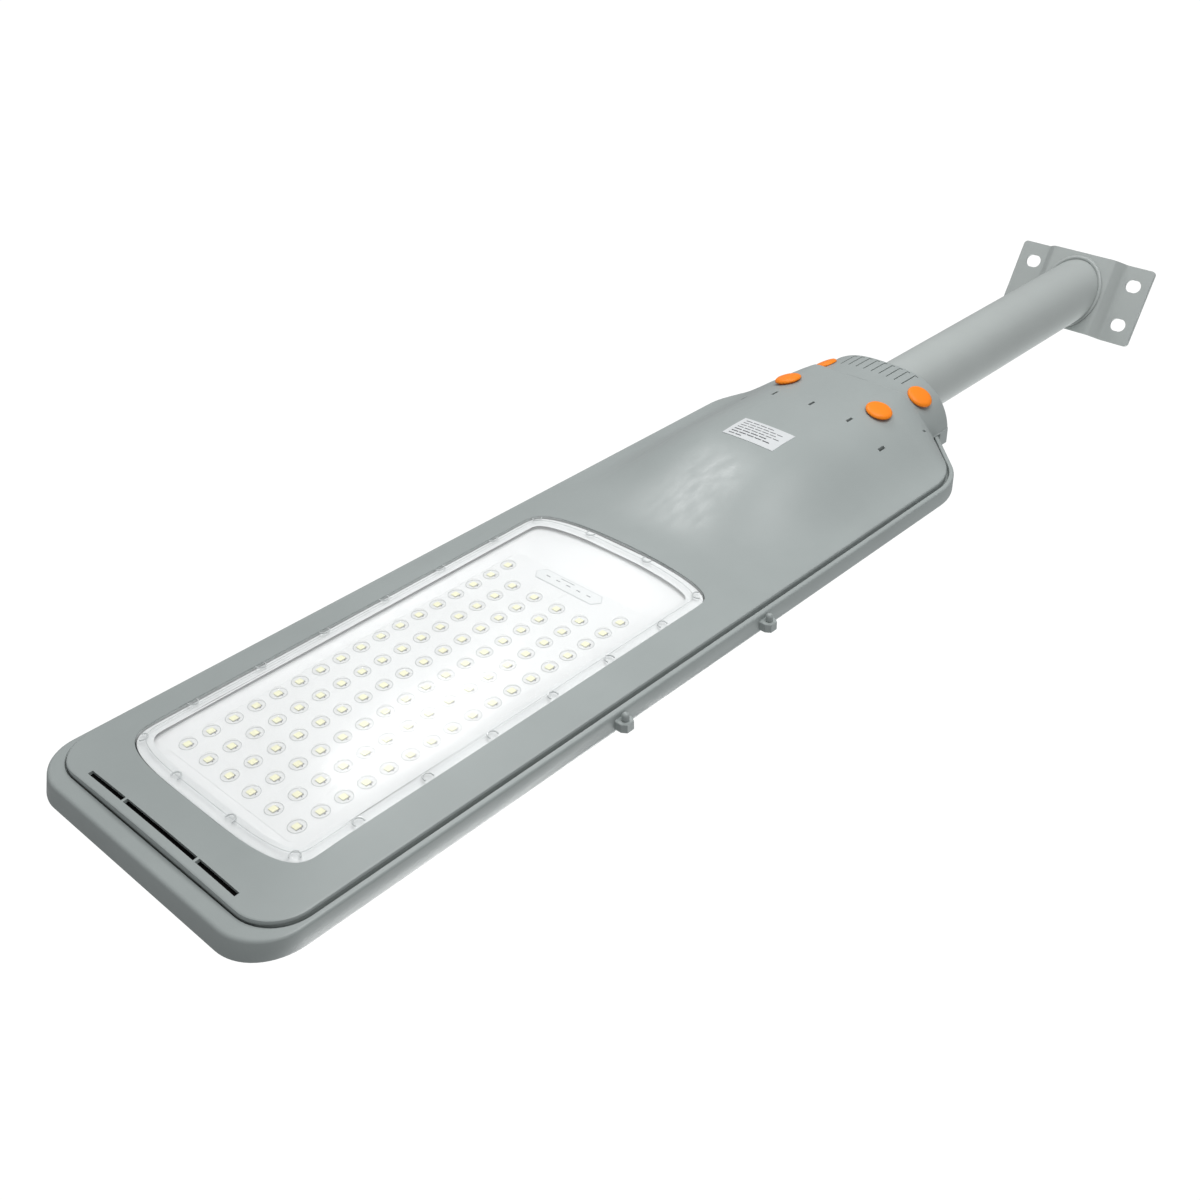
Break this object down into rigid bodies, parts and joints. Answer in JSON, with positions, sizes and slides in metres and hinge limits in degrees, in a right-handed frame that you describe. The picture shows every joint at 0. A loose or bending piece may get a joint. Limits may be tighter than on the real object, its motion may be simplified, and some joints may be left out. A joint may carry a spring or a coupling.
{
  "type": "solar street lamp",
  "caption": "Street lamp with a solar panel on its back, a lens over rows of LEDs below, and a tube arm that is welded to a tilted wall plate.",
  "frame": {"origin": "centre of the wall plate's outline, on the plane of the wall", "axes": "+Z away from the lit side, square to the solar panel; -Y along the arm towards the head; X across the head"},
  "size_m": [0.2619, 1.166, 0.0831],
  "materials": {
    "arm_paint": "satin grey powder coat on steel",
    "shell_plastic": "satin moulded plastic, fine texture",
    "plug_orange": "semi-gloss orange",
    "lens_clear": "clear moulded cover",
    "optic_clear": "clear moulded optics",
    "reflector_white": "white reflecting plastic",
    "zinc_steel": "zinc plated",
    "battery_wrap": "shrink wrapped cell",
    "black_plastic": "matte black",
    "black_rubber": "matte",
    "panel_glass": "tempered solar glass",
    "silicon_cells": "dark blue cells with fine silver lines",
    "aluminium_plate": "rolled",
    "circuit_board": "solder mask",
    "label_film": "printed film"
  },
  "bodies": {
    "root": {"wall_plate": "arm_paint", "arm_tube": "arm_paint", "weld_bead": "arm_paint"},
    "sleeve": {"socket_sleeve": "black_rubber"},
    "head": {"back_shell": "shell_plastic", "battery_cell_1_left": "battery_wrap", "battery_cell_1_right": "battery_wrap", "battery_cell_2_left": "battery_wrap", "battery_cell_2_right": "battery_wrap", "battery_cell_3_left": "battery_wrap", "battery_cell_3_right": "battery_wrap", "battery_cradle": "black_plastic", "battery_strap_left": "zinc_steel", "battery_strap_right": "zinc_steel", "clamp_saddle": "zinc_steel", "clamp_screw_front_left": "zinc_steel", "clamp_screw_front_right": "zinc_steel", "clamp_screw_rear_left": "zinc_steel", "clamp_screw_rear_right": "zinc_steel", "controller_board": "circuit_board", "controller_case": "black_plastic", "front_cover": "shell_plastic", "heat_sink": "aluminium_plate", "led_board": "aluminium_plate", "led_optics": "optic_clear", "lens_cover": "lens_clear", "lens_gasket": "black_rubber", "lens_screw_01": "zinc_steel", "lens_screw_02": "zinc_steel", "lens_screw_03": "zinc_steel", "lens_screw_04": "zinc_steel", "lens_screw_05": "zinc_steel", "lens_screw_06": "zinc_steel", "lens_screw_07": "zinc_steel", "lens_screw_08": "zinc_steel", "lens_screw_09": "zinc_steel", "lens_screw_10": "zinc_steel", "lens_screw_11": "zinc_steel", "lens_screw_12": "zinc_steel", "lens_screw_13": "zinc_steel", "lens_screw_14": "zinc_steel", "lens_screw_15": "zinc_steel", "lens_screw_16": "zinc_steel", "lens_screw_17": "zinc_steel", "lens_screw_18": "zinc_steel", "lens_screw_19": "zinc_steel", "lens_screw_20": "zinc_steel", "panel_glass": "panel_glass", "panel_junction_box": "black_plastic", "rating_label": "label_film", "reflector_tray": "reflector_white", "side_pin_far": "shell_plastic", "side_pin_near": "shell_plastic", "solar_cells": "silicon_cells"},
    "plug_front_left": {"plug_cap_front_left": "plug_orange"},
    "plug_front_right": {"plug_cap_front_right": "plug_orange"},
    "plug_rear_left": {"plug_cap_rear_left": "plug_orange"},
    "plug_rear_right": {"plug_cap_rear_right": "plug_orange"}
  },
  "joints": [
    {"name": "head_slide", "type": "slide", "parent": "root", "child": "sleeve", "axis": [0, -1, 0], "range_m": [0, 0.06]},
    {"name": "head_turn", "type": "hinge", "parent": "sleeve", "child": "head", "pos_m": [0, -0.358, -0.006], "axis": [0, 1, 0], "range_deg": [-15, 15]},
    {"name": "plug_front_left_pull", "type": "slide", "parent": "head", "child": "plug_front_left", "axis": [-0.2756, 0, -0.9613], "range_m": [0, 0.012]},
    {"name": "plug_front_right_pull", "type": "slide", "parent": "head", "child": "plug_front_right", "axis": [0.2756, 0, -0.9613], "range_m": [0, 0.012]},
    {"name": "plug_rear_left_pull", "type": "slide", "parent": "head", "child": "plug_rear_left", "axis": [-0.4848, 0, -0.8746], "range_m": [0, 0.012]},
    {"name": "plug_rear_right_pull", "type": "slide", "parent": "head", "child": "plug_rear_right", "axis": [0.4848, 0, -0.8746], "range_m": [0, 0.012]}
  ]
}
